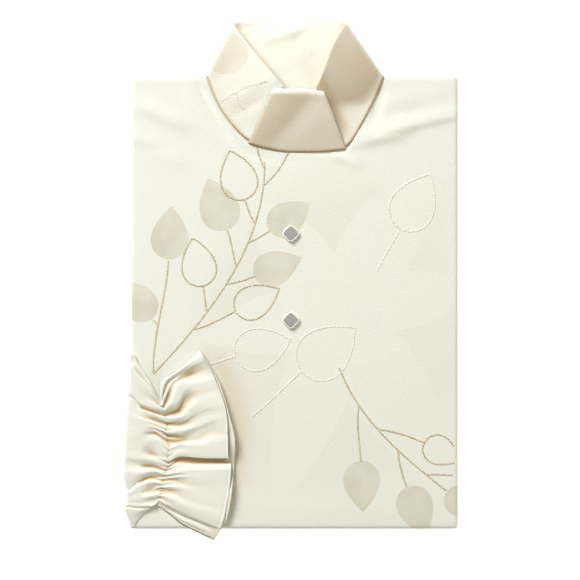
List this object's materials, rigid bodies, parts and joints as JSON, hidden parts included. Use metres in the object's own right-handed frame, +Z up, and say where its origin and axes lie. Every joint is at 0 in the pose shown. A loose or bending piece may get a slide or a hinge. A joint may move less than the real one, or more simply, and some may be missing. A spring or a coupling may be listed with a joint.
{
  "type": "folded clergy robe",
  "caption": "Folded robe of ivory jacquard lying flat: tall soft stand collar, square chest buttons, and a sleeve with a shirred, ruffled cuff laid over the front.",
  "frame": {"origin": "middle of the base of the whole object's box, on the surface that the folded robe lies on", "axes": "+X to the right as the front is looked at, +Y from the bottom fold towards the collar, +Z up from the surface through the front"},
  "size_m": [0.3026, 0.4628, 0.0352],
  "materials": {
    "body_cloth": "ivory sateen jacquard with tan leaves and gold thread lines",
    "collar_cloth": "cream sateen, softly stiffened",
    "cuff_cloth": "cream sateen, gathered on elastic",
    "button_shell": "pearl white",
    "button_inlay": "smoke grey, satin"
  },
  "bodies": {
    "root": {"front": "body_cloth", "folded_layers": "body_cloth", "collar_band": "collar_cloth", "collar_front": "collar_cloth", "sleeve_right": "cuff_cloth", "cuff_ruffle": "cuff_cloth", "button_1": "button_shell", "button_1_inlay": "button_inlay", "button_2": "button_shell", "button_2_inlay": "button_inlay"}
  },
  "joints": []
}
